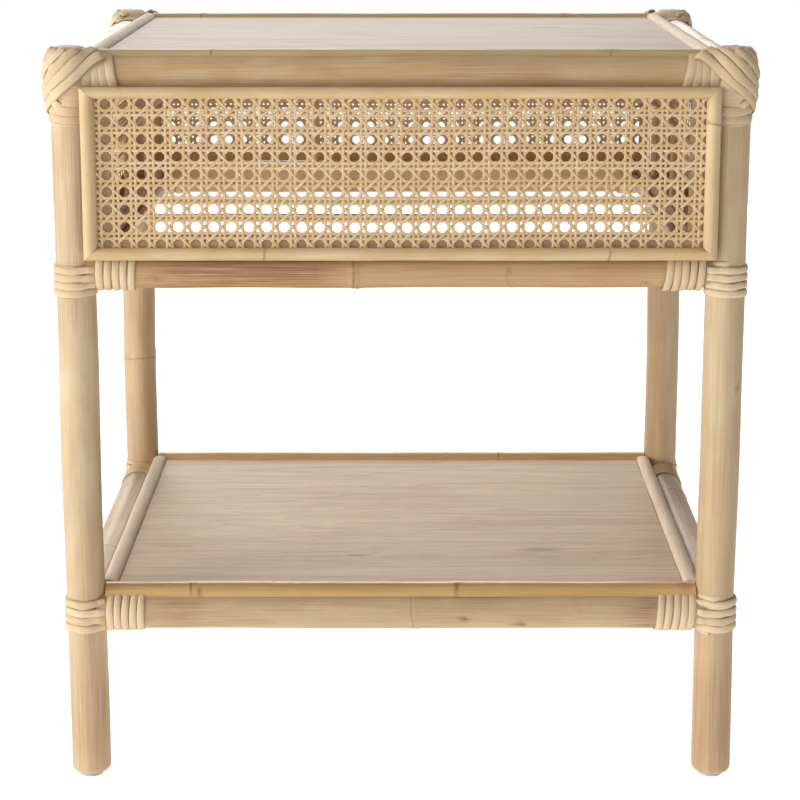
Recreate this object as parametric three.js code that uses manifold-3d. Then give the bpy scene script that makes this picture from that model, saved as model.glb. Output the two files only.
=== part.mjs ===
// Rattan nightstand: a frame of round rattan poles with lashed joints, a wooden top and an open
// shelf, cane webbing panels, and one overlay drawer with a cane front that slides out of the
// front. Millimetres, +Z up, +X to the right of someone facing the drawer, the drawer opens along
// -Y. The origin is on the floor, in the middle of the overall footprint.

import * as THREE from 'three';
import { mergeVertices } from 'three/addons/utils/BufferGeometryUtils.js';
import Module from 'manifold-3d';

// ---------------------------------------------------------------- driving dimensions
const GAP = 0.3;             // left between pieces that touch
const SIDES = 20;            // facets round a pole
const THIN_SIDES = 12;       // facets round a thin rod

const SETBACK = 4.0;         // the leg grid stands this far back, behind the proud drawer front
const LEG_X = 235.5;         // half the distance between leg centres, across
const LEG_Y = 185;           // the same, front to back
const LEG_R = 14.5;
const LEG_FOOT = 3.0;        // bottom of a leg: the glide is under it
const LEG_TOP = 546.5;
const GLIDE_R = 9;

const RAIL_R = 14;
const TOP_Z = 530;           // centre heights of the three rings of rails
const MID_Z = 389.5;
const BACK_UP = 15;          // the middle ring's back rail is this much higher than its others
const SHELF_Z = 130;

const TOP_FACE = 545;        // upper faces of the two boards
const SHELF_FACE = 146.5;
const BOARD = 8;             // thickness of a board
const LEDGE = 4;             // its side rims are lower by this much, to seat the side trims
const BOARD_X = 212.6;       // half sizes of a board's upper face
const BOARD_Y = 174.6;
const RIM_X = 225.5;         // half width across the rims
const SIDE_TRIM = 7.5;       // height of a side trim

const WRAP = 1.9;            // thickness of a lashing on a pole
const WRAP_LONG = 29;        // length of the turns round a rail
const BIND_R = 18.9;         // radius of a corner binding round a leg
const BIND_TOP = 551;
const BIND_FOOT = 492;
const BIND_LONG = 24;        // how far it runs along each rail
const BIND_END = 215.8;      // half length of the top trims that end against the bindings

const FRONT_X = 226.5;       // half width of the drawer front
const FRONT_LOW = 399.5;
const FRONT_HIGH = 524.4;
const FRONT_BACK = -200.3;   // its back face, just ahead of the legs
const BATTEN = 5;            // thickness of the frame behind the cane
const CANE = 1;              // thickness of cane webbing
const TRIM_OUT = 5;          // how far the half-round trim stands out
const TRIM_SIDE = 11;        // widths of the trims
const TRIM_TOP = 8.8;
const TRIM_LOW = 9.8;

const DRAWER_X = 213.5;      // half width of the drawer behind its front
const DRAWER_BACK = 163;
const DRAWER_Z = 406.2;      // underside of the drawer
const SIDE_TALL = 16;
const SIDE_THICK = 8;
const GALLERY_Z = 478;
const GALLERY_R = 4.5;
const ROD_R = 2.8;
const ROD_PITCH = 86;        // spacing of the rods in the drawer's bottom

// ---------------------------------------------------------------- materials
const look = (color, roughness, metalness = 0) =>
  new THREE.MeshStandardMaterial({ color, roughness, metalness });
const LOOKS = {
  pole: [0xcfb183, 0.5],
  rail: [0xc19a68, 0.5],
  trim: [0xdcbd8c, 0.55],
  core: [0xd8c2a2, 0.8],
  board: [0xc9ae93, 0.6],
  binding: [0xd6bd93, 0.8],
  lashing: [0xd8bd90, 0.8],
  cane: [0xcda873, 0.6],
  batten: [0x9a7a52, 0.75],
  rod: [0xcaa574, 0.55],
  glide: [0xb9b9b4, 0.45],
};

// ---------------------------------------------------------------- solids
const wasm = await Module();
wasm.setup();

// A closed geometry as a manifold solid.
function solid(geometry) {
  const bare = geometry.clone();
  for (const name of ['normal', 'uv']) bare.deleteAttribute(name);
  const merged = mergeVertices(bare, 1e-4);
  return new wasm.Manifold(new wasm.Mesh({
    numProp: 3,
    vertProperties: new Float32Array(merged.attributes.position.array),
    triVerts: new Uint32Array(merged.index.array),
  }));
}

// A manifold solid as a geometry.
function geometryOf(body) {
  const mesh = body.getMesh();
  const geometry = new THREE.BufferGeometry();
  geometry.setAttribute('position', new THREE.BufferAttribute(new Float32Array(mesh.vertProperties), 3));
  geometry.setIndex(new THREE.BufferAttribute(new Uint32Array(mesh.triVerts), 1));
  geometry.computeVertexNormals();
  return geometry;
}

// The largest of the bodies that cutting has left.
const whole = (body) => body.decompose().sort((a, b) => b.volume() - a.volume())[0];
const joined = (bodies) => bodies.reduce((all, body) => all.add(body));
const without = (body, cutters) => cutters.reduce((left, cutter) => left.subtract(cutter), body);

// A round bar along an axis, between two stations, at the other two coordinates. r2 is its far end.
function bar(axis, from, to, at, r, r2 = r) {
  const shape = new THREE.CylinderGeometry(r2, r, to - from, r < 5 ? THIN_SIDES : SIDES);
  shape.translate(0, (from + to) / 2, 0);
  if (axis === 'x') shape.rotateZ(-Math.PI / 2).translate(0, at[0], at[1]);
  if (axis === 'y') shape.translate(at[0], 0, at[1]);
  if (axis === 'z') shape.rotateX(Math.PI / 2).translate(at[0], at[1], 0);
  return solid(shape);
}

function block(x0, x1, y0, y1, z0, z1) {
  const shape = new THREE.BoxGeometry(x1 - x0, y1 - y0, z1 - z0);
  shape.translate((x0 + x1) / 2, (y0 + y1) / 2, (z0 + z1) / 2);
  return solid(shape);
}

// A turned shape about a vertical axis, from [radius, height] pairs that start and end on it.
function turned(profile, x, y) {
  const shape = new THREE.LatheGeometry(profile.map(([r, z]) => new THREE.Vector2(r, z)), SIDES);
  shape.rotateX(Math.PI / 2).translate(x, y, 0);
  return shape;
}

// ---------------------------------------------------------------- the set of poles
const CORNERS = [
  ['front_left', -1, -1], ['front_right', 1, -1], ['back_left', -1, 1], ['back_right', 1, 1],
];
const LEVELS = [['top', TOP_Z], ['mid', MID_Z], ['shelf', SHELF_Z]];

const LEG_PROFILE = [
  [0, LEG_FOOT], [LEG_R - 3.5, LEG_FOOT], [LEG_R, LEG_FOOT + 4.5],
  [LEG_R, LEG_TOP - 1.5], [LEG_R - 1.5, LEG_TOP], [0, LEG_TOP],
];
const legCut = (sx, sy, top) => bar('z', 0, top, [sx * LEG_X, sy * LEG_Y], LEG_R + GAP);
const legCuts = CORNERS.map(([, sx, sy]) => legCut(sx, sy, BIND_TOP));
const acrossZ = (sy, z) => (z === MID_Z && sy > 0 ? z + BACK_UP : z);
const acrossRail = (sy, z, more = 0) =>
  bar('x', -LEG_X, LEG_X, [sy * LEG_Y, acrossZ(sy, z)], RAIL_R + more);
const sideRail = (sx, z, more = 0) => bar('y', -LEG_Y, LEG_Y, [sx * LEG_X, z], RAIL_R + more);
const acrossCuts = (z) => [-1, 1].map((sy) => acrossRail(sy, z, GAP));
const ringCuts = (z) => [...acrossCuts(z), ...[-1, 1].map((sx) => sideRail(sx, z, GAP))];

// Sleeve round the end of each rail at one corner, where the turns of a lashing or binding lie.
function railSleeves(sx, sy, z, r, far, long, more) {
  const x0 = LEG_X - LEG_R + 1, y0 = LEG_Y - LEG_R + 1;
  const span = (s, start) => (s > 0 ? [start - long - 1 - more, start] : [-start, long + 1 + more - start]);
  const radii = (s) => (s > 0 ? [far + more, r + more] : [r + more, far + more]);
  return [
    bar('x', ...span(sx, x0), [sy * LEG_Y, acrossZ(sy, z)], ...radii(sx)),
    bar('y', ...span(sy, y0), [sx * LEG_X, z], ...radii(sy)),
  ];
}

// The lashing's envelope: a band round the leg and turns round both rails.
function lashing(sx, sy, z, low, high, more = 0) {
  const at = [sx * LEG_X, sy * LEG_Y];
  const round = bar('z', z + low - more, z + high + more, at, LEG_R + GAP + WRAP + more);
  const r = RAIL_R + GAP + WRAP;
  return joined([round, ...railSleeves(sx, sy, z, r, r, WRAP_LONG, more)]);
}
const BANDS = { mid: [-18, 5], shelf: [-13, 12] };
const lashingAt = (level, z, sx, sy, more = 0) => {
  const [low, high] = BANDS[level];
  return lashing(sx, sy, z, low, high + acrossZ(sy, z) - z, more);
};

// The top corner binding's envelope: layered strips over the leg's end and both rails.
function binding(sx, sy, more = 0) {
  const cap = solid(turned([
    [0, BIND_FOOT - more], [LEG_R + 0.9 + more, BIND_FOOT - more], [BIND_R + more, BIND_FOOT + 20],
    [BIND_R + more, BIND_TOP - 6], [BIND_R - 4, BIND_TOP + more], [0, BIND_TOP + more],
  ], sx * LEG_X, sy * LEG_Y));
  return joined([cap, ...railSleeves(sx, sy, TOP_Z, RAIL_R + 3.2, RAIL_R + 1.6, BIND_LONG, more)]);
}
const bindingCuts = CORNERS.map(([, sx, sy]) => binding(sx, sy, GAP));
const midLashings = CORNERS.map(([, sx, sy]) => lashingAt('mid', MID_Z, sx, sy, GAP));
const drawerRoom = block(
  -FRONT_X - 1, FRONT_X + 1, -LEG_Y - 55, FRONT_BACK + GAP, FRONT_LOW - 1, FRONT_HIGH + 1,
);

// ---------------------------------------------------------------- boards and trims
function board(face, more = 0) {
  const x = BOARD_X + more, y = BOARD_Y + more, low = face - BOARD - more;
  const rim = block(-RIM_X - more, RIM_X + more, -y, y, low, face - LEDGE + more);
  return block(-x, x, -y, y, low, face + more).add(rim);
}

// The room above a board's upper face, which nothing overhangs.
const roomOver = (face) => block(
  -BOARD_X - GAP, BOARD_X + GAP, -BOARD_Y - GAP, BOARD_Y + GAP, face, face + 2 * RAIL_R,
);

// Half-round section, flat side down: half width, height, then the length it runs for along x.
function halfRound(half, high, long) {
  const outline = new THREE.Shape();
  outline.moveTo(-half, 0);
  outline.lineTo(half, 0);
  for (let i = 1; i < 6; i += 1) {
    const a = (Math.PI * i) / 6;
    outline.lineTo(half * Math.cos(a), high * Math.sin(a));
  }
  const shape = new THREE.ExtrudeGeometry(outline, { depth: long, bevelEnabled: false });
  shape.translate(0, 0, -long / 2).rotateX(Math.PI / 2).rotateZ(Math.PI / 2);
  return shape;                 // runs along x, flat side down on z = 0, width along y
}

// Trim on top of a front or back rail, beside the board's edge.
function acrossTrim(sy, face, wide, high, end, more = 0) {
  const shape = halfRound(wide / 2 + more, high + 2 * more, 2 * (end + more));
  shape.translate(0, sy * (BOARD_Y + GAP + wide / 2), face - LEDGE - more);
  return solid(shape);
}

// Trim along a board's side edge, lying on the rim between the board and the side rail.
function sideTrim(sx, face, more = 0) {
  const half = (RIM_X - BOARD_X - GAP) / 2;
  const shape = halfRound(half + more, SIDE_TRIM + 2 * more, 2 * (BOARD_Y + more));
  shape.rotateZ(Math.PI / 2).translate(sx * (BOARD_X + GAP + half), 0, face - LEDGE + GAP - more);
  return solid(shape);
}

// Level, rail height, board face, then width, height and half length of its front and back trims.
const BOARDS = [
  ['top', TOP_Z, TOP_FACE, 12, 7.2, BIND_END],
  ['shelf', SHELF_Z, SHELF_FACE, 17, 8.6, LEG_X - LEG_R - 0.6],
];
const acrossTrims = (face, wide, high, end, more) =>
  [-1, 1].map((sy) => acrossTrim(sy, face, wide, high, end, more));
const boardCuts = { mid: [] };
for (const [level, , face, wide, high, end] of BOARDS) {
  boardCuts[level] = [
    board(face, GAP), roomOver(face), sideTrim(-1, face, GAP), sideTrim(1, face, GAP),
    ...acrossTrims(face, wide, high, end, GAP),
  ];
}

// ---------------------------------------------------------------- cane panels of the frame
const PANEL_LOW = MID_Z + RAIL_R - 3, PANEL_HIGH = TOP_Z - RAIL_R + 3;
const SHOW_LOW = 418, SHOW_HIGH = 507, SHOW_IN = 11;
// Strip ring and webbing for the opening between two legs, built as a back panel along x.
function ring(half, up) {
  const out = block(-half - LEG_R + 4, half + LEG_R - 4, 1, 7, PANEL_LOW + up, PANEL_HIGH);
  return out.subtract(block(-half + SHOW_IN, half - SHOW_IN, 0, 8, SHOW_LOW + up, SHOW_HIGH));
}
const webbing = (half, up, edge) =>
  new THREE.BoxGeometry(2 * half, CANE, SHOW_HIGH - SHOW_LOW - up + 2 * edge);

// ---------------------------------------------------------------- assembly
const nightstand = new THREE.Group();
const frame = new THREE.Group();
const drawer = new THREE.Group();
for (const part of [frame, drawer]) {
  part.position.y = SETBACK;
  nightstand.add(part);
}

function place(group, name, kind, shape, at = [0, 0, 0], turn = 0) {
  const geometry = shape.isBufferGeometry ? shape : geometryOf(shape);
  const mesh = new THREE.Mesh(geometry, look(...LOOKS[kind]));
  mesh.name = name;
  mesh.position.set(...at);
  mesh.rotation.z = turn;
  group.add(mesh);
}

// Legs, glides, bindings and lashings at the four corners
for (const [corner, sx, sy] of CORNERS) {
  place(frame, `leg_${corner}`, 'pole', turned(LEG_PROFILE, 0, 0), [sx * LEG_X, sy * LEG_Y, 0]);
  const glide = turned([[0, 0], [GLIDE_R, 0], [GLIDE_R - 1, LEG_FOOT - GAP], [0, LEG_FOOT - GAP]], 0, 0);
  place(frame, `glide_${corner}`, 'glide', glide, [sx * LEG_X, sy * LEG_Y, 0]);
  const wrap = without(binding(sx, sy), [
    legCut(sx, sy, LEG_TOP + GAP), ...ringCuts(TOP_Z), ...boardCuts.top, drawerRoom,
  ]);
  place(frame, `binding_${corner}`, 'binding', whole(wrap));
  for (const [level, z] of LEVELS.slice(1)) {
    const turns = without(lashingAt(level, z, sx, sy), [
      legCut(sx, sy, LEG_TOP), ...ringCuts(z), ...boardCuts[level],
    ]);
    place(frame, `lashing_${level}_${corner}`, 'lashing', whole(turns));
  }
}

// Three rings of rails, coped to the legs; the side rails are also coped to the front and back ones
for (const [level, z] of LEVELS) {
  for (const [side, sy] of [['front', -1], ['back', 1]]) {
    place(frame, `rail_${level}_${side}`, 'rail', without(acrossRail(sy, z), legCuts));
  }
  for (const [side, sx] of [['left', -1], ['right', 1]]) {
    place(frame, `rail_${level}_${side}`, 'rail', without(sideRail(sx, z), [...legCuts, ...acrossCuts(z)]));
  }
}

// Top board and shelf with their trims
for (const [level, z, face, wide, high, end] of BOARDS) {
  const cutters = [...ringCuts(z), ...legCuts];
  place(frame, `${level}_board`, 'board', without(board(face), cutters));
  for (const [side, sy] of [['front', -1], ['back', 1]]) {
    const trim = without(acrossTrim(sy, face, wide, high, end), cutters);
    place(frame, `${level}_trim_${side}`, 'trim', whole(trim));
  }
  for (const [side, sx] of [['left', -1], ['right', 1]]) {
    const trim = without(sideTrim(sx, face), [...cutters, ...acrossTrims(face, wide, high, end, GAP)]);
    place(frame, `${level}_trim_${side}`, 'core', whole(trim));
  }
}

// Cane panels between the legs at the back and both sides, each held in a ring of strips
const panelCuts = [...legCuts, ...ringCuts(TOP_Z), ...ringCuts(MID_Z), ...bindingCuts, ...midLashings];
const PANELS = [
  ['back', LEG_X - LEG_R, [0, LEG_Y], 0, BACK_UP],
  ['left', LEG_Y - LEG_R, [-LEG_X, 0], 90, 0],
  ['right', LEG_Y - LEG_R, [LEG_X, 0], -90, 0],
];
for (const [side, half, [x, y], degrees, up] of PANELS) {
  const turn = THREE.MathUtils.degToRad(degrees);
  const strips = ring(half, up).rotate([0, 0, degrees]).translate([x, y, 0]);
  place(frame, `strips_${side}`, 'trim', whole(without(strips, panelCuts)));
  const inward = new THREE.Vector3(0, 1 - GAP - CANE / 2, 0).applyAxisAngle(new THREE.Vector3(0, 0, 1), turn);
  const sheet = webbing(half - 5, up, 5), z = (SHOW_LOW + up + SHOW_HIGH) / 2;
  place(frame, `cane_${side}`, 'cane', sheet, [x + inward.x, y + inward.y, z], turn);
}

// Drawer runners, nailed inside the side rails and notched round the lashings
for (const [side, sx] of [['left', -1], ['right', 1]]) {
  const near = Math.min(sx * (LEG_X - RAIL_R + 3), sx * (DRAWER_X - SIDE_THICK));
  const far = Math.max(sx * (LEG_X - RAIL_R + 3), sx * (DRAWER_X - SIDE_THICK));
  const strip = block(near, far, -LEG_Y + LEG_R + 2.5, LEG_Y - LEG_R - 2.5, MID_Z + 6.5, DRAWER_Z - GAP);
  place(frame, `runner_${side}`, 'batten', whole(without(strip, [...ringCuts(MID_Z), ...midLashings])));
}

// Drawer front: a frame of battens, cane webbing over it, and four mitred half-round trims
const CANE_Y = FRONT_BACK - BATTEN - GAP - CANE / 2;
const TRIM_Y = CANE_Y - CANE / 2 - GAP;
const window = block(-205, 205, -220, -190, FRONT_LOW + 15.5, FRONT_HIGH - 8.5);
const BATTEN_IN = 0.8;       // how far the battens stay inside the trims' outer edges
const battens = block(
  -FRONT_X + BATTEN_IN, FRONT_X - BATTEN_IN, FRONT_BACK - BATTEN, FRONT_BACK,
  FRONT_LOW + BATTEN_IN, FRONT_HIGH - BATTEN_IN,
);
place(drawer, 'drawer_front_frame', 'batten', battens.subtract(window));
const sheet = new THREE.BoxGeometry(2 * FRONT_X - 10, CANE, FRONT_HIGH - FRONT_LOW - 8);
place(drawer, 'drawer_cane', 'cane', sheet, [0, CANE_Y, (FRONT_LOW + FRONT_HIGH) / 2]);

// A trim of the given length and width, mitred to meet neighbours of the widths at its two ends.
function mitred(long, wide, ends) {
  const shape = halfRound(wide / 2, TRIM_OUT, long - 1.5 * GAP);
  const points = shape.attributes.position;
  for (let i = 0; i < points.count; i += 1) {
    const side = Math.sign(points.getX(i));
    const inset = ((wide / 2 - points.getY(i)) / wide) * ends[side < 0 ? 0 : 1];
    points.setX(i, points.getX(i) - side * inset);
  }
  return shape.rotateX(Math.PI / 2);       // flat side to the back, outer edge up
}
const midFront = (FRONT_LOW + FRONT_HIGH) / 2, tall = FRONT_HIGH - FRONT_LOW;
for (const [name, long, wide, ends, x, z, roll] of [
  ['top', 2 * FRONT_X, TRIM_TOP, [TRIM_SIDE, TRIM_SIDE], 0, FRONT_HIGH - TRIM_TOP / 2, 0],
  ['bottom', 2 * FRONT_X, TRIM_LOW, [TRIM_SIDE, TRIM_SIDE], 0, FRONT_LOW + TRIM_LOW / 2, Math.PI],
  ['left', tall, TRIM_SIDE, [TRIM_LOW, TRIM_TOP], -FRONT_X + TRIM_SIDE / 2, midFront, -Math.PI / 2],
  ['right', tall, TRIM_SIDE, [TRIM_TOP, TRIM_LOW], FRONT_X - TRIM_SIDE / 2, midFront, Math.PI / 2],
]) {
  const shape = mitred(long, wide, ends).rotateY(roll);
  place(drawer, `drawer_trim_${name}`, 'trim', shape, [x, TRIM_Y, z]);
}

// Drawer tray: low sides, a bottom of round rods on two cross rails, and a rod gallery on posts
const SIDE_TOP = DRAWER_Z + SIDE_TALL;
for (const [side, sx] of [['left', -1], ['right', 1]]) {
  const shape = new THREE.BoxGeometry(SIDE_THICK, DRAWER_BACK - FRONT_BACK - GAP, SIDE_TALL);
  const x = sx * (DRAWER_X - SIDE_THICK / 2), y = (DRAWER_BACK + FRONT_BACK + GAP) / 2;
  place(drawer, `drawer_side_${side}`, 'batten', shape, [x, y, DRAWER_Z + SIDE_TALL / 2]);
}
const inner = DRAWER_X - SIDE_THICK - GAP;
const grille = [
  block(-inner, inner, FRONT_BACK + GAP, FRONT_BACK + 8, DRAWER_Z, FRONT_LOW + 15.5),
  block(-inner, inner, DRAWER_BACK - 8, DRAWER_BACK, DRAWER_Z, SIDE_TOP - 1),
  ...[-inner, inner - 6].map((x) => block(x, x + 6, FRONT_BACK + 4, DRAWER_BACK - 4, DRAWER_Z, DRAWER_Z + 5)),
];
for (let y = 88; y > FRONT_BACK + 20; y -= ROD_PITCH) {
  grille.push(bar('x', -inner + 1, inner - 1, [y, DRAWER_Z + 5], ROD_R));
}
place(drawer, 'drawer_bottom', 'rod', joined(grille));

// A curve through given stations, which are also the steps of an extrusion along it.
class Stations extends THREE.Curve {
  constructor(points) {
    super();
    this.points = points;
  }

  getPointAt(u) {
    const last = this.points.length - 1, i = Math.min(Math.floor(u * last + 1e-9), last - 1);
    return this.points[i].clone().lerp(this.points[i + 1], u * last - i);
  }

  getTangentAt(u) {
    const last = this.points.length - 1, i = Math.round(u * last);
    const ahead = this.points[Math.min(i + 1, last)], behind = this.points[Math.max(i - 1, 0)];
    return ahead.clone().sub(behind).normalize();
  }
}

const rodX = DRAWER_X - 2.5, rodY = DRAWER_BACK - 4, BEND = 24;
const stations = [new THREE.Vector3(-rodX, FRONT_BACK + GAP, GALLERY_Z)];
for (const s of [-1, 1]) {
  for (let i = 0; i <= 5; i += 1) {
    const a = (Math.PI / 10) * (s < 0 ? i : 5 - i);
    const x = s * (rodX - BEND + BEND * Math.cos(a)), y = rodY - BEND + BEND * Math.sin(a);
    stations.push(new THREE.Vector3(x, y, GALLERY_Z));
  }
}
stations.push(new THREE.Vector3(rodX, FRONT_BACK + GAP, GALLERY_Z));
const section = new THREE.Shape().absarc(0, 0, GALLERY_R, 0, 2 * Math.PI, false);
const bentRod = new THREE.ExtrudeGeometry(section, {
  curveSegments: 5, steps: stations.length - 1, extrudePath: new Stations(stations),
});
const posts = [-1, 1].flatMap((s) => [
  ...[-70, 60].map((y) => bar('z', SIDE_TOP + GAP, GALLERY_Z, [s * (rodX - 0.5), y], 3)),
  bar('z', SIDE_TOP - 1 + GAP, GALLERY_Z, [s * 75, rodY], 3),
]);
place(drawer, 'drawer_gallery', 'rod', joined([solid(bentRod), ...posts]));

export default nightstand;
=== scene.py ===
"""Looks of the rattan nightstand: irregular poles with growth nodes, wound lashings of peel, woven
cane webbing, half-round trims with pins, veneered boards, and the open drawer behind its front.

Lengths in this script are millimetres in the leg grid, whose middle lies between the four legs.
Piece.make turns them into metres in the frame that the CAD model uses."""
import math

import bmesh
import bpy
import numpy as np
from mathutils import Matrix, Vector


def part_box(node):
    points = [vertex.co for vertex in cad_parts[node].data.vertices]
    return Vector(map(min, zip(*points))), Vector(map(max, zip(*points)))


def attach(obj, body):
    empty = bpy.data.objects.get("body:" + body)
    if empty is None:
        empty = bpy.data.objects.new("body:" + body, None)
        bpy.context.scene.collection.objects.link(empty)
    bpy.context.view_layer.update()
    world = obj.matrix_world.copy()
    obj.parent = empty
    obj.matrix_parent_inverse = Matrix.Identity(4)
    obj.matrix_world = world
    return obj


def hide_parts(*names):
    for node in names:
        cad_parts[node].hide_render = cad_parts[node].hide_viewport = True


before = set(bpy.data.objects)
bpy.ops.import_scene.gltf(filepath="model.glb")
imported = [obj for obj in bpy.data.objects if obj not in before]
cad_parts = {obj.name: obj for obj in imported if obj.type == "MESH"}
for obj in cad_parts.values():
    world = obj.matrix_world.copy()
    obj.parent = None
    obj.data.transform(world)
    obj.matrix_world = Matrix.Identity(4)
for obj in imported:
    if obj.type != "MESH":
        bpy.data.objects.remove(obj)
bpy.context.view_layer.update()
MM = 0.001
TAU = 2 * math.pi
X, Y, Z = np.eye(3)


# ---- places, from the frame
def centre_y(node):
    low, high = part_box(node)
    return (low.y + high.y) / 2 / MM


SETBACK = (centre_y("leg_front_left") + centre_y("leg_back_left")) / 2


def box(node):
    """Lowest and highest corner of a CAD node, in millimetres in the leg grid."""
    low, high = (np.array(corner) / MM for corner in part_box(node))
    return low - Y * SETBACK, high - Y * SETBACK


def middle(node):
    low, high = box(node)
    return (low + high) / 2


def extent(node):
    low, high = box(node)
    return high - low


LEG_X, LEG_Y = middle("leg_back_right")[:2]
LEG_LOW, LEG_HIGH = (corner[2] for corner in box("leg_back_right"))
LEG_R = extent("leg_back_right")[0] / 2
RAIL_R = extent("rail_mid_front")[2] / 2
LEVELS = {level: middle(f"rail_{level}_front")[2] for level in ("top", "mid", "shelf")}
BACK_UP = middle("rail_mid_back")[2] - LEVELS["mid"]
CORNERS = {
    "front_left": (-1, -1), "front_right": (1, -1), "back_left": (-1, 1), "back_right": (1, 1),
}
SIDES = {0: (Y, Z), 1: (X, Z), 2: (X, Y)}     # the two directions square to each axis
SKIN_GAP = 0.15              # how far a pole stays inside the CAD pole it replaces


def raised(level, sy):
    """How much higher than its ring the rail at the front (-1) or the back (1) of a level is."""
    return BACK_UP if level == "mid" and sy > 0 else 0.0


# ---- camera, floor and lights
def camera():
    """A long lens a little above the top, looking down at the front."""
    down = 12.24             # degrees
    data = bpy.data.cameras.new("camera")
    data.lens, data.sensor_width = 99.2, 36
    data.shift_x, data.shift_y = -0.005, -0.085
    data.clip_end = 50
    view = bpy.data.objects.new("camera", data)
    view.location = (0.0025, -1.7527, 0.684)
    view.rotation_euler = (math.radians(90 - down), 0, 0)
    bpy.context.collection.objects.link(view)
    bpy.context.scene.camera = view


def lamp(name, place, size, power, colour=(1, 1, 1)):
    """A round soft light, aimed at the middle of the table."""
    data = bpy.data.lights.new(name, "AREA")
    data.shape, data.size, data.energy, data.color = "DISK", size, power, colour
    light = bpy.data.objects.new(name, data)
    light.location = place
    light.rotation_euler = (Vector((0, 0, 0.3)) - Vector(place)).to_track_quat("-Z", "Y").to_euler()
    light.visible_camera = False
    bpy.context.collection.objects.link(light)


def studio():
    world = bpy.data.worlds.new("white_room")
    world.use_nodes = True
    world.node_tree.nodes["Background"].inputs["Color"].default_value = (1, 1, 1, 1)
    bpy.context.scene.world = world
    world.cycles_visibility.diffuse = False
    bpy.context.scene.view_settings.view_transform = "Standard"
    lamp("window", (-2.4, -1.0, 1.0), 1.6, 43, (1.0, 0.985, 0.96))
    lamp("front_fill", (-0.8, -3.1, 0.85), 2.0, 26)
    lamp("ceiling", (-0.2, -0.3, 2.8), 2.4, 13)
    lamp("behind", (-0.4, 3.0, 1.45), 2.4, 80)


def floor():
    half, mesh = 2.6, bpy.data.meshes.new("floor")
    corners = [(-half, -half, 0), (half, -half, 0), (half, half, 0), (-half, half, 0)]
    mesh.from_pydata(corners, [], [(0, 1, 2, 3)])
    ground = bpy.data.objects.new("floor", mesh)
    bpy.context.collection.objects.link(ground)
    paper = Nodes("white_paper")
    mesh.materials.append(paper.shader(
        (0.5, 0.5, 0.5, 1), 0.9, emission_color=(1, 1, 1, 1), emission_strength=0.84
    ))


# ---- materials
def tone(value):
    """The shader's colour for red, green and blue as they look on a screen, 0 to 255. What a node
    gives stays as it is."""
    if not isinstance(value, tuple):
        return value
    parts = np.array(value) / 255
    linear = np.where(parts <= 0.04045, parts / 12.92, ((parts + 0.055) / 1.055) ** 2.4)
    return (*[float(v) for v in linear], 1.0)


class Nodes:
    """A node material being built. Its methods add one node each and return what it gives."""

    def __init__(self, name):
        self.material = bpy.data.materials.new(name)
        self.material.use_nodes = True
        self.tree = self.material.node_tree
        self.bsdf = self.tree.nodes["Principled BSDF"]

    def put(self, kind, inputs, **settings):
        node = self.tree.nodes.new(kind)
        for key, value in settings.items():
            setattr(node, key, value)
        for key, value in inputs.items():
            if isinstance(value, bpy.types.NodeSocket):
                self.tree.links.new(value, node.inputs[key])
            else:
                node.inputs[key].default_value = value
        return node

    def attribute(self, name, output="Fac"):
        return self.put("ShaderNodeAttribute", {}, attribute_name=name).outputs[output]

    def place(self):
        """The point on a CAD node, in millimetres."""
        point = self.put("ShaderNodeTexCoord", {}).outputs["Object"]
        return self.stretch(point, (1000, 1000, 1000))

    def stretch(self, vector, scale):
        return self.vector_math("MULTIPLY", vector, scale).outputs[0]

    def vector_math(self, operation, a, b=(0, 0, 0)):
        return self.put("ShaderNodeVectorMath", {0: a, 1: b}, operation=operation)

    def noise(self, vector, scale, detail=3.0, rough=0.55, warp=0.0):
        """Noise over a vector. Three scales stretch it along the three axes."""
        if isinstance(scale, tuple):
            vector, scale = self.stretch(vector, scale), 1.0
        inputs = {"Vector": vector, "Scale": scale, "Detail": detail, "Roughness": rough,
                  "Distortion": warp}
        return self.put("ShaderNodeTexNoise", inputs).outputs["Fac"]

    def ramp(self, value, *stops):
        node = self.put("ShaderNodeValToRGB", {"Fac": value})
        while len(node.color_ramp.elements) < len(stops):
            node.color_ramp.elements.new(1)
        for element, (place, colour) in zip(node.color_ramp.elements, stops):
            element.position, element.color = place, colour
        return node.outputs["Color"]

    def span(self, value, low, high, to_low=0.0, to_high=1.0):
        inputs = {"Value": value, "From Min": low, "From Max": high, "To Min": to_low,
                  "To Max": to_high}
        return self.put("ShaderNodeMapRange", inputs).outputs["Result"]

    def math(self, operation, a, b):
        return self.put("ShaderNodeMath", {0: a, 1: b}, operation=operation).outputs[0]

    def mix(self, share, a, b, blend="MIX"):
        colours = {0: share, 6: tone(a), 7: tone(b)}
        return self.put("ShaderNodeMix", colours, data_type="RGBA", blend_type=blend).outputs[2]

    def shader(self, color=None, rough=0.5, bump=None, strength=0.2, depth=0.3, **uniform):
        """Connects colour, roughness and bump; depth is the bump's height in millimetres."""
        for key, value in [("Base Color", color), ("Roughness", rough)]:
            if isinstance(value, bpy.types.NodeSocket):
                self.tree.links.new(value, self.bsdf.inputs[key])
            else:
                self.bsdf.inputs[key].default_value = value
        if bump is not None:
            inputs = {"Height": bump, "Strength": strength, "Distance": depth * MM}
            normal = self.put("ShaderNodeBump", inputs).outputs["Normal"]
            self.tree.links.new(normal, self.bsdf.inputs["Normal"])
        for key, value in uniform.items():
            self.bsdf.inputs[key.replace("_", " ").title()].default_value = value
        return self.material


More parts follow.
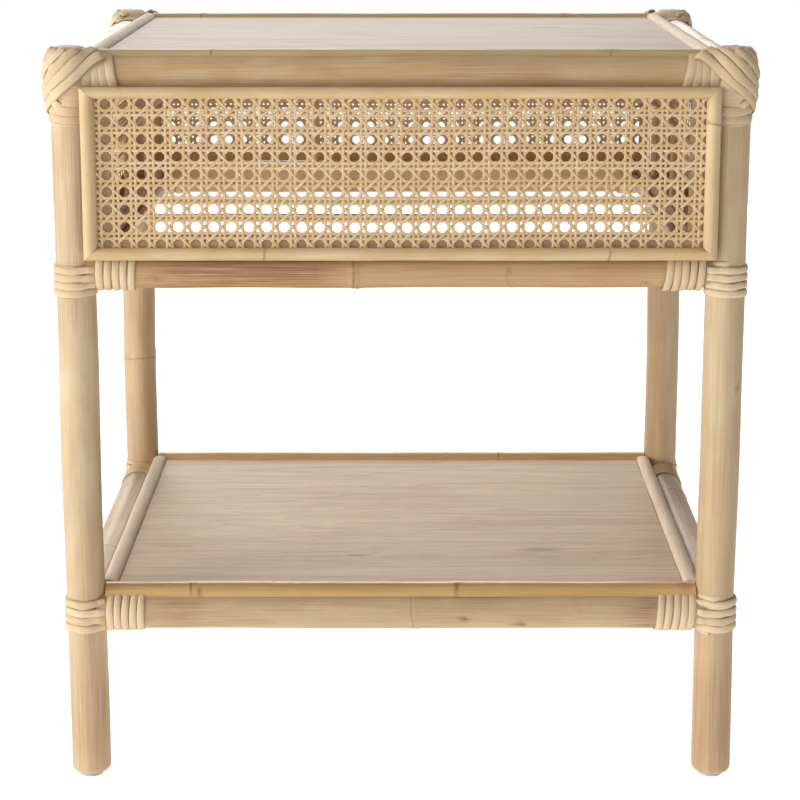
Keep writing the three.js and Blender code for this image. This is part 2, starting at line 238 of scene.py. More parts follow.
def skin(name, pale, warm, brown, fibre=0.16, gloss=0.42):
    """Rattan with its skin on: long fibres, slow blotches, brown nodes and reddish stains."""
    n = Nodes(name)
    grain = n.attribute("grain", "Vector")
    fine = n.noise(grain, (1.6, 1.6, 0.016), 4.0, 0.65)
    broad = n.noise(grain, (0.22, 0.22, 0.006), 3.0, 0.6, 0.4)
    cloud = n.noise(grain, (0.05, 0.05, 0.02), 3.0, 0.55, 0.5)
    base = n.mix(n.span(cloud, 0.33, 0.67), pale, warm)
    aged = n.mix(n.span(broad, 0.3, 0.75), brown, warm)
    colour = n.mix(n.attribute("tint"), base, aged)
    streak = n.span(fine, 0.25, 0.8, 1 - 1.25 * fibre, 1 + 0.55 * fibre)
    black, white = (0, 0, 0, 1), (1, 1, 1, 1)
    colour = n.mix(1.0, colour, n.ramp(streak, (0, black), (1, white)), "MULTIPLY")
    line = n.noise(grain, (0.85, 0.85, 0.011), 5.0, 0.7)
    stained = n.math("MULTIPLY", n.attribute("stain"), n.span(line, 0.4, 0.62))
    colour = n.mix(stained, colour, (146, 94, 62))
    rough_edge = n.noise(grain, 0.55, 4.0, 0.7)
    node = n.math("MULTIPLY", n.attribute("mark"), n.span(rough_edge, 0.2, 0.65, 0.35, 1.1))
    colour = n.mix(n.span(node, 0.12, 0.95), colour, (112, 74, 42))
    speck = n.noise(grain, (1.1, 1.1, 0.35), 2.0, 0.5)
    colour = n.mix(n.span(speck, 0.7, 0.79, 0.0, 0.5), colour, (128, 92, 58))
    rough = n.span(broad, 0.2, 0.8, gloss - 0.07, gloss + 0.12)
    return n.shader(colour, rough, fine, 0.35, 0.22, coat_weight=0.06, coat_roughness=0.35)


def peel(name, pale, warm, dark):
    """Matt split peel: fibres along each strand, a tint of its own, and darker edges, which are
    painted shade between the strands.
    """
    n = Nodes(name)
    grain = n.attribute("grain", "Vector")
    fine = n.noise(grain, (2.6, 2.6, 0.07), 5.0, 0.7)
    broad = n.noise(grain, (0.4, 0.4, 0.03), 3.0, 0.6)
    colour = n.mix(n.attribute("tint"), pale, warm)
    colour = n.mix(n.span(broad, 0.35, 0.75, 0.0, 0.55), colour, warm)
    colour = n.mix(n.span(fine, 0.52, 0.8, 0.0, 0.55), colour, dark)
    # painted shade: each strand's edges, where it meets its neighbours, are darkened
    edge = n.span(n.attribute("mark"), 0.72, 1.0, 0.0, 0.75)
    colour = n.mix(edge, colour, dark)
    return n.shader(colour, n.span(fine, 0.2, 0.8, 0.62, 0.85), fine, 0.6, 0.35)


def wood(name, pale, warm, dark, along, gloss=0.6):
    """Plain sawn or turned wood. along is how fast it changes along the grain."""
    n = Nodes(name)
    grain = n.attribute("grain", "Vector")
    fine = n.noise(grain, (1.4, 1.4, 0.03), 4.0, 0.65)
    broad = n.noise(grain, (0.16, 0.16, along), 4.0, 0.6, 0.8)
    colour = n.mix(n.span(broad, 0.3, 0.7), pale, warm)
    colour = n.mix(n.span(fine, 0.5, 0.78, 0.0, 0.6), colour, dark)
    colour = n.mix(n.math("MULTIPLY", n.attribute("mark"), 0.8), colour, dark)
    return n.shader(colour, n.span(fine, 0.2, 0.8, gloss - 0.1, gloss + 0.12), fine, 0.4, 0.2)


def veneer(name, shine, face, pale, warm, dark, knots):
    """Matt wood veneer on a board, its grain running left to right. Knots are (x, y, size)."""
    n = Nodes(name)
    place = n.place()
    fine = n.noise(place, (0.012, 1.1, 0.3), 5.0, 0.7)
    pores = n.noise(place, (0.05, 1.9, 0.3), 3.0, 0.6)
    flow = n.noise(place, (0.0028, 0.045, 0.1), 4.0, 0.6, 1.4)
    cloud = n.noise(place, (0.006, 0.012, 0.1), 2.0, 0.5)
    colour = n.mix(n.span(flow, 0.32, 0.68), pale, warm)
    rings = n.math("SINE", n.math("MULTIPLY", flow, 58.0), 0.0)
    colour = n.mix(n.span(rings, 0.2, 1.0, 0.0, 0.34), colour, dark)
    colour = n.mix(n.span(fine, 0.48, 0.75, 0.0, 0.55), colour, dark)
    colour = n.mix(n.span(pores, 0.6, 0.74, 0.0, 0.6), colour, dark)
    colour = n.mix(n.span(cloud, 0.4, 0.7, 0.0, 0.5), colour, face)
    for x, y, size in knots:
        away = n.vector_math("ADD", place, (-x, -y - SETBACK, 0)).outputs[0]
        flat = n.stretch(away, (0.3 / size, 1 / size, 0))
        reach = n.vector_math("LENGTH", flat).outputs["Value"]
        ring = n.math("ADD", reach, n.span(pores, 0.3, 0.7, -0.25, 0.25))
        colour = n.mix(n.span(ring, 1.0, 0.25, 0.0, 0.75), colour, (122, 86, 58))
    n.bsdf.inputs["Specular IOR Level"].default_value = shine
    return n.shader(colour, n.span(fine, 0.2, 0.8, 0.56, 0.74), pores, 0.3, 0.15)


def plastic(name):
    n = Nodes(name)
    place = n.place()
    cloud = n.noise(place, 0.35, 3.0, 0.6)
    scuff = n.noise(n.stretch(place, (1, 1, 0.2)), 1.8, 4.0, 0.7)
    colour = n.mix(n.span(cloud, 0.3, 0.7), (182, 182, 176), (204, 203, 197))
    colour = n.mix(n.span(scuff, 0.6, 0.75, 0, 0.5), colour, (120, 117, 110))
    return n.shader(colour, n.span(scuff, 0.2, 0.8, 0.35, 0.55), scuff, 0.25, 0.1)


def pin_metal(name):
    n = Nodes(name)
    grain = n.attribute("grain", "Vector")
    wear = n.noise(grain, 2.2, 3.0, 0.6)
    colour = n.mix(n.span(wear, 0.35, 0.7), (164, 134, 96), (196, 166, 122))
    return n.shader(colour, n.span(wear, 0.2, 0.8, 0.3, 0.6), wear, 0.3, 0.05, metallic=0.7)


LOOKS = {
    "pole": skin("pole_skin", (229, 207, 168), (214, 185, 143), (188, 146, 106), 0.17, 0.52),
    "rail": skin("rail_skin", (223, 193, 149), (210, 171, 119), (184, 136, 88), 0.27, 0.52),
    "trim": skin("trim_skin", (235, 208, 166), (220, 187, 138), (196, 157, 102), 0.17, 0.5),
    "grey": skin("grey_skin", (213, 187, 149), (198, 167, 125), (178, 130, 84), 0.24, 0.55),
    "gold": skin("gold_skin", (234, 199, 140), (217, 177, 112), (186, 138, 78), 0.22, 0.42),
    "olive": skin("olive_skin", (225, 199, 146), (207, 178, 119), (176, 143, 90), 0.15, 0.5),
    "core": wood("bare_core", (242, 226, 203), (230, 210, 182), (176, 150, 122), 0.012, 0.8),
    "peel": peel("peel_matt", (238, 216, 180), (220, 190, 148), (150, 116, 78)),
    "cane": peel("cane_strands", (238, 212, 170), (216, 180, 130), (146, 108, 64)),
    "batten": wood("batten_wood", (176, 142, 102), (150, 116, 78), (104, 76, 48), 0.008),
    "rod": skin("rod_skin", (218, 186, 138), (204, 168, 118), (180, 140, 92), 0.16),
    "glide": plastic("glide_plastic"),
    "pin": pin_metal("pin_metal"),
}


# ---- shapes
def wander(s, rng, wave, amount):
    """Slow random drift along s, of about the given wavelength and size."""
    total = np.zeros_like(s, dtype=float)
    for k in (1.0, 1.7, 2.9):
        total += np.sin(TAU * s * k / wave + rng.uniform(0, TAU)) / k
    return amount * total / 1.6


def bell(distance, width):
    return np.exp(-((distance / width) ** 2))


def full_turn(count):
    return np.linspace(0, TAU, count, endpoint=False)


def around(angle, one, two):
    """Unit vectors at the given angles, turning from one to two."""
    return np.cos(angle)[..., None] * one + np.sin(angle)[..., None] * two


def beside(u, v, s):
    """The grain attribute of points u and v off a strand's line, s along it."""
    return np.stack(np.broadcast_arrays(u, v, s[:, None]), -1)


def lengths(path):
    """How far along a path each of its points is."""
    return np.concatenate([[0], np.cumsum(np.linalg.norm(np.diff(path, axis=0), axis=1))])


class Piece:
    """Collects closed surfaces, each a stack of rings, and makes one mesh object of them."""

    def __init__(self, name, seed):
        self.name, self.rng = name, np.random.default_rng(seed)
        self.points, self.faces, self.count = [], [], 0
        self.values = {"grain": [], "tint": [], "mark": [], "stain": []}

    def add(self, rings, grain, tint=0.0, mark=0.0, stain=0.0):
        """rings is m rings of n points, and the first and last ring are closed by a face."""
        m, n = rings.shape[:2]
        first = np.arange(m * n).reshape(m, n) + self.count
        near, far = first[:-1], first[1:]
        quads = np.stack([near, np.roll(near, -1, 1), np.roll(far, -1, 1), far], -1)
        self.faces += quads.reshape(-1, 4).tolist()
        self.faces += [first[0].tolist(), first[-1].tolist()]
        self.points.append(rings.reshape(-1, 3))
        self.values["grain"].append((grain + self.rng.uniform(0, 900, 3)).reshape(-1, 3))
        for key, value in [("tint", tint), ("mark", mark), ("stain", stain)]:
            self.values[key].append(np.broadcast_to(value, (m, n)).reshape(-1))
        self.count += m * n

    def make(self, look, body, slot, *nodes, sharp=55):
        mesh = bpy.data.meshes.new(self.name)
        points = (np.concatenate(self.points) + Y * SETBACK) * MM
        mesh.from_pydata(points.tolist(), [], self.faces)
        shell = bmesh.new()
        shell.from_mesh(mesh)
        bmesh.ops.recalc_face_normals(shell, faces=shell.faces)
        shell.to_mesh(mesh)
        shell.free()
        for key, values in self.values.items():
            kind, field = ("FLOAT_VECTOR", "vector") if key == "grain" else ("FLOAT", "value")
            layer = mesh.attributes.new(key, kind, "POINT")
            layer.data.foreach_set(field, np.concatenate(values).astype(np.float32).ravel())
        mesh.shade_smooth()
        mesh.set_sharp_from_angle(angle=math.radians(sharp))
        mesh.materials.append(LOOKS[look])
        piece = bpy.data.objects.new(self.name, mesh)
        bpy.context.collection.objects.link(piece)
        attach(piece, body)
        if nodes:
            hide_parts(*nodes)
        return piece


def pole(piece, axis, start, end, at, radius, nodes=(), spots=(), stains=(), tint=0.0, sides=32,
         taper=0.0, foot=None, bow=0.5):
    """A rattan pole along an axis, with its centre line through at. Nodes are (place, swell), spots
    are (place, angle, length, spread, strength), stains are (from, to, strength), and foot is how
    far its start is rounded, along and inwards."""
    rng = piece.rng
    side, run = SIDES[axis], np.eye(3)[axis]
    stations = [np.linspace(start, end, max(2, int((end - start) / 7)))]
    for place, _ in nodes:
        stations.append(np.clip(place + np.linspace(-7, 7, 20), start, end))
    s = np.unique(np.concatenate(stations))
    fade = np.zeros_like(s)
    if foot:
        low, inset = foot
        turn = np.linspace(0, math.pi / 2, 6)
        s = np.concatenate([start + low * (1 - np.cos(turn)), s[s > start + low * 1.02]])
        fade = np.concatenate([inset * (1 - np.sin(turn)), np.zeros(len(s) - len(turn))])
    angle = full_turn(sides)[None, :]
    along = s[:, None]
    r = radius * (1 + wander(s, rng, 260, 0.012))[:, None] - fade[:, None]
    r = r + taper * np.clip((along - start) / (end - start), 0, 1)
    r = r + 0.012 * radius * np.cos(2 * angle + rng.uniform(0, TAU))
    mark, stain = np.zeros_like(r), np.zeros_like(r)
    for place, swell in nodes:
        tilt = rng.uniform(0.6, 1.6) * np.cos(angle - rng.uniform(0, TAU))
        tilt = tilt + 0.35 * np.cos(3 * angle + rng.uniform(0, TAU))
        gap = along - place - tilt
        r = r + swell * bell(gap, 4.5) - 0.4 * min(1, swell * 2) * bell(gap + 1.1, 0.8)
        mark = np.maximum(mark, (0.2 + 0.5 * min(1, swell * 1.4)) * bell(gap + 1.1, 1.1))
        mark = np.maximum(mark, 0.3 * swell * bell(gap - 1.0, 4.0))
    for place, where, length, spread, strength in spots:
        turn = (angle - where + math.pi) % TAU - math.pi
        mark = np.maximum(mark, strength * bell(along - place, length) * bell(turn, spread))
    for low, high, strength in stains:
        ramp_in = np.clip((along - low) / 25, 0, 1) * np.clip((high - along) / 25, 0, 1)
        stain = np.maximum(stain, strength * ramp_in)
    bend = sum(wander(s, rng, 420, bow)[:, None, None] * way for way in side)
    centre = np.array(at, float) * (1 - run) + s[:, None, None] * run + bend
    rings = centre + r[..., None] * around(angle, *side)
    grain = beside(r * np.cos(angle), r * np.sin(angle), s)
    piece.add(rings, grain, tint(along) if callable(tint) else tint, mark, stain)


STRAND = np.array([
    (-1, 0.2), (-0.86, 0.62), (-0.5, 0.93), (0, 1), (0.5, 0.93), (0.86, 0.62), (1, 0.2), (0.6, 0),
    (-0.6, 0),
])
FINE_STRAND = np.array([(-1, 0.3), (-0.5, 1), (0.5, 1), (1, 0.3), (0.75, 0), (-0.75, 0)])


def sweep(piece, path, across, outward, width, thick, section=STRAND, tint=0.0):
    """A strand along a path: width across it and thick outward from it. Each of these holds for
    the whole strand or has a value for every point."""
    across, outward = (np.broadcast_to(way, path.shape) for way in (across, outward))
    width, thick = (np.broadcast_to(size, len(path)) for size in (width, thick))
    u = section[:, 0][None, :] * width[:, None] / 2
    v = section[:, 1][None, :] * thick[:, None]
    rings = path[:, None] + u[..., None] * across[:, None] + v[..., None] * outward[:, None]
    # the mark is the distance from the strand's middle; the peel look turns it into painted shade
    # at the edges
    piece.add(rings, beside(u, v, lengths(path)), tint, np.abs(section[:, 0]))


def wind(piece, axis, at, start, pitch, turns, radius, width, thick, begin, hand=1, loose=0.35,
         slant=0.0):
    """A strand of peel wound round an axis, from an angle, its ends tucked under."""
    rng = piece.rng
    side, run = SIDES[axis], np.eye(3)[axis]
    t = np.linspace(0, TAU * turns, max(4, int(30 * turns)))
    angle = begin + hand * t
    s = start + pitch * t / TAU + wander(t, rng, 5.0, loose) + slant * np.sin(angle)
    ends = np.minimum(t, t[-1] - t)
    lift = radius - 1.3 * np.clip(1 - ends / 0.5, 0, 1) ** 2 + wander(t, rng, 4.0, 0.08)
    radial = around(angle, *side)
    path = np.array(at, float) * (1 - run) + s[:, None] * run + lift[:, None] * radial
    wide = width * (1 + wander(t, rng, 7.0, 0.05))
    high = thick * (1 + wander(t, rng, 3.0, 0.08))
    sweep(piece, path, run, radial, wide, high, tint=rng.uniform(0, 0.8))


HALF_ROUND = np.array(
    [(math.cos(a), math.sin(a)) for a in np.linspace(math.pi, 0, 13)] + [(0.5, 0), (-0.5, 0)]
)


def moulding(piece, axis, start, end, at, width, height, up, mitre=(0, 0), nodes=(), spots=(),
             tint=0.2, core=False):
    """A half-round strip along an axis, flat on the plane that at lies in, standing out along up.
    mitre is how much shorter one edge is at the start and at the end. Nodes are (place, swell) and
    spots are (place, side, length, spread, strength). A core strip is flatter."""
    rng = piece.rng
    run = np.eye(3)[axis]
    across = np.cross(up, run)
    t = [np.linspace(0, 1, max(2, int((end - start) / 8)))]
    for place, _ in nodes:
        t.append(np.clip((place + np.linspace(-5, 5, 16) - start) / (end - start), 0, 1))
    t = np.unique(np.concatenate(t))[:, None]
    u, v = HALF_ROUND[:, 0][None, :], HALF_ROUND[:, 1][None, :] ** (0.55 if core else 1)
    low = start + mitre[0] * (u + 1) / 2
    high = end - mitre[1] * (u + 1) / 2
    s = low + (high - low) * t
    middle_s = start + (end - start) * t[:, 0]
    size = (1 + wander(middle_s, rng, 170, 0.022))[:, None]
    mark, swell = np.zeros_like(s), np.zeros_like(s)
    for place, amount in nodes:
        gap = s - place - rng.uniform(0.4, 1.2) * u
        swell += amount * bell(gap, 3.5) - 0.25 * bell(gap + 0.9, 0.7)
        mark = np.maximum(mark, 0.55 * bell(gap + 0.9, 0.9) + 0.16 * bell(gap - 0.6, 3.0))
    for place, where, length, spread, strength in spots:
        mark = np.maximum(mark, strength * bell(s - place, length) * bell(u - where, spread))
    wide = width / 2 * size * (1 + (swell / width) * (v > 0)) - 0.12
    tall = (height * size + swell) * v
    base = np.array(at, float) * (1 - run)
    rings = base + s[..., None] * run + (u * wide)[..., None] * across + tall[..., None] * up
    grain = np.stack([u * width / 2 + 0 * s, v * height + 0 * s, s], -1)
    piece.add(rings, grain, tint, mark)


def pins(name, body, places, up, seed):
    """Small domed nail heads at the given points, each facing along up."""
    piece = Piece(name, seed)
    one = np.cross(up, X if abs(up[0]) < 0.5 else Y)
    two = np.cross(up, one)
    ring = around(full_turn(10), one, two)
    for place in places:
        radius = 0.55 * piece.rng.uniform(0.85, 1.1)
        shape = [(radius, -0.6), (radius, 0.05), (radius * 0.8, 0.15), (radius * 0.35, 0.2)]
        rings = np.array([np.array(place) + r * ring + h * up for r, h in shape])
        piece.add(rings, rings)
    return piece.make("pin", body, "trim")


def plank(piece, low, high, axis):
    """A batten between two corners, with rounded edges and a slightly uneven face."""
    rng, edge = piece.rng, 0.8
    run, (one, two) = np.eye(3)[axis], SIDES[axis]
    low, high = np.array(low, float), np.array(high, float)
    centre, half = (low + high) / 2, (high - low) / 2
    a, b = half @ one, half @ two
    section = []
    for corner, (ca, cb) in enumerate([(1, 1), (-1, 1), (-1, -1), (1, -1)]):
        for k in range(4):
            turn = math.pi / 2 * (corner + k / 3)
            section.append((
                ca * (a - edge) + edge * math.cos(turn), cb * (b - edge) + edge * math.sin(turn)
            ))
    section = np.array(section)
    length = half @ run
    s = np.linspace(-length, length, max(3, int(length / 6)))
    shrink = np.where(np.abs(s) > length - 0.01, 0.96, 1.0) * (1 + wander(s, rng, 140, 0.006))
    u = section[:, 0][None, :] * shrink[:, None]
    v = section[:, 1][None, :] * shrink[:, None]
    rings = centre + s[:, None, None] * run + u[..., None] * one + v[..., None] * two
    piece.add(rings, beside(u, v, s), 0.3)


# ---- legs, rails and glides
FRONT = -math.pi / 2         # angle round a leg that faces the front
RAIL_FRONT = math.pi         # angle round an across rail that faces the front


def legs():
    nodes = {"back_left": [(242, 0.4), (470, 0.4)], "back_right": [(335, 0.5)]}
    spots = {
        "front_left": [(58, FRONT + 0.5, 16, 0.12, 0.35), (392, FRONT - 0.6, 6, 0.4, 0.15)],
        "front_right": [
            (304, FRONT + 0.75, 5, 0.2, 0.62), (78, FRONT - 0.85, 7, 0.05, 0.9),
            (22, FRONT - 0.75, 2.5, 0.12, 0.6),
        ],
        "back_left": [(208, FRONT, 4, 0.3, 0.25)], "back_right": [(180, FRONT, 5, 0.2, 0.3)],
    }
    stains = {
        "front_left": [(330, 500, 0.3), (5, 90, 0.35)],
        "front_right": [(5, 95, 0.35), (200, 300, 0.15)],
        "back_left": [(250, 370, 0.25)], "back_right": [(340, 420, 0.3), (5, 70, 0.2)],
    }
    for seed, (corner, (sx, sy)) in enumerate(CORNERS.items()):
        piece = Piece(f"pole_leg_{corner}", 11 + seed)
        aged = {"front_left": 0.12, "front_right": 0.34}.get(corner, 0.36)

        def tint(z, aged=aged):
            """Darker towards the foot."""
            return np.clip(aged + 0.6 * np.clip(1 - z / 260, 0, 1), 0, 1)
        pole(piece, 2, LEG_LOW, LEG_HIGH, (sx * LEG_X, sy * LEG_Y, 0), LEG_R - SKIN_GAP,
             nodes.get(corner, ()), spots[corner], stains[corner], tint=tint, foot=(4.5, 3.5))
        piece.make("pole", "frame", "pole", f"leg_{corner}")


def rails():
    reach_x, reach_y = LEG_X - 9, LEG_Y - 9
    nodes = {
        "top_front": [], "top_back": [(20, 0.4)],
        "top_left": [(40, 0.4)], "top_right": [(-30, 0.4)],
        "mid_front": [(-32, 0.75), (78, 0.2)], "mid_back": [(-110, 0.5), (130, 0.4)],
        "mid_left": [(10, 0.5)], "mid_right": [(60, 0.5)],
        "shelf_front": [(10, 0.3)], "shelf_back": [(-60, 0.5), (150, 0.4)],
        "shelf_left": [(-70, 0.4)], "shelf_right": [(90, 0.5)],
    }
    stains = {"mid_front": [(-185, -36, 1.0)], "top_front": [(20, 130, 0.35)],
              "shelf_right": [(20, 140, 0.8)], "mid_back": [(-90, 60, 0.7)],
              "shelf_front": [(160, 210, 1.0), (-190, -140, 0.8)]}
    spots = {
        "mid_front": [
            (178, RAIL_FRONT + 0.55, 2.4, 0.12, 1.0), (78, RAIL_FRONT - 0.1, 3, 0.25, 0.5),
            (-176, RAIL_FRONT + 0.3, 9, 0.25, 0.6),
        ],
        "shelf_right": [(60, 1.9, 20, 0.4, 0.4)],
        "shelf_front": [(48, RAIL_FRONT + 0.22, 4, 0.2, 0.9), (88, RAIL_FRONT + 0.6, 5, 0.22, 1.1)],
    }
    aged = {"top": 0.08, "mid": 0.62, "shelf": 0.12}
    seed = 30
    for level, z in LEVELS.items():
        for side, at, axis, reach in [
            ("front", (0, -LEG_Y, z), 0, reach_x),
            ("back", (0, LEG_Y, z + raised(level, 1)), 0, reach_x),
            ("left", (-LEG_X, 0, z), 1, reach_y), ("right", (LEG_X, 0, z), 1, reach_y),
        ]:
            seed += 1
            key = f"{level}_{side}"
            piece = Piece(f"pole_rail_{key}", seed)
            taper = -0.9 if key == "mid_front" else 0.0
            pole(piece, axis, -reach, reach, at, RAIL_R - SKIN_GAP, nodes[key], spots.get(key, ()),
                 stains.get(key, ()), tint=aged[level], taper=taper, bow=0.35)
            piece.make("grey" if level == "shelf" else "rail", "frame", "rail", f"rail_{key}")


# ---- lashings at the lower levels
WRAP = 1.9                   # a lashing strand's thickness


def lashings():
    """Turns round the leg, turns round each rail beside it, and strands laid on over both. low and
    reach are the leg turns' lowest and highest place from the rails' middle."""
    seed, spacing = 60, 5.75
    for level, (low, reach) in {"mid": (-18, 5), "shelf": (-13, 12)}.items():
        z = LEVELS[level]
        for corner, (sx, sy) in CORNERS.items():
            seed += 1
            piece = Piece(f"lashing_{level}_{corner}_strands", seed)
            leg = (sx * LEG_X, sy * LEG_Y, 0)
            up = raised(level, sy)
            turns, high = (7, reach + up - 0.6) if up else (4, reach)
            pitch = (high - low) / turns
            wind(piece, 2, leg, z + low + pitch * 0.45, pitch * 0.97, turns - 0.1, LEG_R - 1.1,
                 pitch, WRAP, math.pi / 2 * sy + 0.8, hand=sx)
            for k in range(turns):
                outer_turn(piece, sx, sy, z, low + pitch * (k + 0.5), pitch * 1.04, up)
            for axis, sign, out, edge in [(0, sx, sy, LEG_X - LEG_R), (1, sy, sx, LEG_Y - LEG_R)]:
                cross = (sx * LEG_X, sy * LEG_Y, z + (up if axis == 0 else 0))
                wind(piece, axis, cross, sign * (edge - 1.5), -sign * spacing, 5.0, RAIL_R - 0.25,
                     spacing + 0.15, WRAP, math.pi / 2 * (1 + out), hand=sign, loose=0.3,
                     slant=0.35 * sign)
            if (level, corner) == ("shelf", "front_right"):
                tail(piece, sx, sy, z + low - 1.6)
            piece.make("peel", "frame", "lashing", f"lashing_{level}_{corner}")


def outer_turn(piece, sx, sy, level, rise, width, up):
    """One strand round the outside of a leg and on over both rails' ends to their turns. The rail
    that runs across lies higher by up."""
    rng = piece.rng
    inward = np.linspace(-LEG_R - 0.8, 0, 14, endpoint=False)
    over, aside = (
        smooth_max(bulge(inward, LEG_R), bulge(height, RAIL_R), 0.5) for height in (rise - up, rise)
    )
    turn = np.linspace(0, math.pi / 2, 14)
    u = np.concatenate([inward, LEG_R * np.sin(turn), aside[::-1]])
    v = np.concatenate([over, LEG_R * np.cos(turn), inward[::-1]])
    s = np.concatenate([[0], np.cumsum(np.hypot(np.diff(u), np.diff(v)))])
    run = np.gradient(u, s), np.gradient(v, s)
    outward = np.stack([-sx * run[1], sy * run[0], 0 * s], -1)
    outward /= np.linalg.norm(outward, axis=1, keepdims=True)
    sag = 1.0 * (bell(u, 9) * (v > 0) + bell(v, 9) * (u > 0)) * rng.uniform(0.5, 1.2)
    z = level + rise - sag + wander(s, rng, 30, 0.35)
    lift = -1.3 * (1 - smooth_step(np.minimum(s, s[-1] - s) / 4)) - 0.15
    path = np.stack([sx * (LEG_X + u), sy * (LEG_Y + v), z], -1) + lift[:, None] * outward
    wide = width * (1 + wander(s, rng, 25, 0.05))
    sweep(piece, path, Z, outward, wide, WRAP, tint=rng.uniform(0, 0.8))


def tail(piece, sx, sy, z):
    """The cut end of a strand, tucked out below the turns on the front of the leg."""
    angle = math.atan2(sy, -sx * 0.9)
    radial = around(angle + np.linspace(-0.45, 0.3, 9), X, Y)
    path = radial * (LEG_R - 0.1) + np.array([sx * LEG_X, sy * LEG_Y, z + 1.4])
    path[:, 2] += 1.1 * np.linspace(1, -0.6, 9)
    sweep(piece, path, Z, radial, 4.6, 1.3, tint=piece.rng.uniform(0.1, 0.6))


# ---- corner bindings at the top
def smooth_max(a, b, soft=1.2):
    high = np.maximum(a, b)
    return high + soft * np.log(np.exp((a - high) / soft) + np.exp((b - high) / soft)) - 0.1 * soft


def bulge(offset, radius):
    """Height of a round pole's near side at an offset from its middle."""
    return np.sqrt(np.clip(radius ** 2 - offset ** 2, 0, None))


# Strips round each rail beside the binding: how far from the leg, and how much they slant.
FAN = [(-1.6, 0.3), (4.0, 1.0), (9.5, 2.2), (15.5, 3.6)]


def bindings():
    """A cap, a fan on each rail, two turns below, and strips slanting over both outer faces."""
    seed, spacing = 80, 5.75
    for corner, (sx, sy) in CORNERS.items():
        seed += 1
        piece = Piece(f"binding_{corner}_strips", seed)
        cap(piece, sx, sy)
        for axis, sign, edge in [(0, sx, LEG_X - LEG_R), (1, sy, LEG_Y - LEG_R)]:
            at = (sx * LEG_X, sy * LEG_Y, LEVELS["top"])
            for k, (far, slant) in enumerate(FAN):
                wind(piece, axis, at, sign * (edge - far), -sign * 1.2, 1.15,
                     RAIL_R + 0.3 - 0.1 * k, 8.2, 1.5, math.pi / 2 + 0.7, hand=-1, loose=0.3,
                     slant=sign * slant)
        for k, (down, width) in enumerate([(48.0, 7.0), (42.0, 7.5)]):
            wind(piece, 2, (sx * LEG_X, sy * LEG_Y, 0), LEG_HIGH - down, 4.0 + k, 1.1,
                 LEG_R - 0.1 + 0.4 * k, width, 1.4, math.pi / 2 * sy + math.pi, hand=sx, slant=1.2)
        for face in (1, 0):
            for k in range(7):
                diagonal(piece, sx, sy, face, 2.9 + spacing * k, k)
        for k in range(4):
            over_top(piece, sx, sy, -8.0 + 5.4 * k, k)
        piece.make("peel", "frame", "binding", f"binding_{corner}")


def smooth_step(t):
    t = np.clip(t, 0, 1)
    return t * t * (3 - 2 * t)


BOUND_LOW = 497              # where the ground layer of a binding starts on the leg


def swell_of_leg(z):
    """Radius of the ground layer round the leg's end, which thickens upwards."""
    return LEG_R + 0.9 + 2.4 * smooth_step((z - BOUND_LOW - 3) / 24)


def cap(piece, sx, sy):
    """The ground layer round the end of the leg, with a low domed top."""
    top, edge = LEG_HIGH + 3.0, 6.0          # edge is the radius of its rounded rim
    profile = [(LEG_R - 0.3, BOUND_LOW - 2)]
    profile += [(swell_of_leg(z) - 0.5, z) for z in np.linspace(BOUND_LOW, top - edge, 12)]
    widest = profile[-1][0]
    profile += [
        (widest - edge * (1 - math.cos(a)), top - edge + edge * math.sin(a))
        for a in np.linspace(0.25, math.pi / 2, 6)
    ]
    profile += [(6, top + 0.3), (1, top + 0.4)]
    angle = full_turn(36)
    ring = around(angle, X, Y)
    lumps = 0.25 * np.cos(2 * angle + 0.6) + 0.15 * np.cos(5 * angle)
    rings = np.array([
        (r + lumps * min(1, r / LEG_R))[:, None] * ring + np.array([sx * LEG_X, sy * LEG_Y, z])
        for r, z in profile
    ])
    round_it = np.broadcast_to(angle * LEG_R, rings.shape[:2])
    grain = np.stack([rings[..., 2], 0 * rings[..., 0], round_it], -1)
    piece.add(rings, grain, 0.45)


def corner_skin(q, z):
    """A point on the bound corner, for an unrolled place on one outer face. q runs outwards from
    the leg's middle and on round it, z up and on over the rail's top. Gives how far along the face
    the point lies, how far out of it, and its height, which sinks to the rail's where q is low."""
    zr, rail_r, top = LEVELS["top"], RAIL_R + 1.6, LEG_HIGH + 3.2
    leg_r = swell_of_leg(np.minimum(z, zr))
    over = np.clip((z - zr) / rail_r, 0, 1.5)
    turn = np.clip(q, 0, None) / leg_r
    near_rail = smooth_step((3 - q) / 6)
    on_leg = bulge(np.minimum(q, 0), leg_r) * np.cos(turn)
    on_rail = bulge(np.minimum(z - zr, 0), rail_r) * near_rail
    square = 1 - 0.62 * smooth_step((q + 16) / 10)
    shrink = np.cos(over) ** square
    b = smooth_max(on_leg, on_rail) * shrink
    a = np.where(q > 0, leg_r * np.sin(turn) * shrink, q)
    reach = rail_r + (top - zr - rail_r) * smooth_step((q + 29.5) / 10)
    height = np.where(z > zr, zr + reach * np.sin(over), z)
    return np.stack([a, b, height], -1)


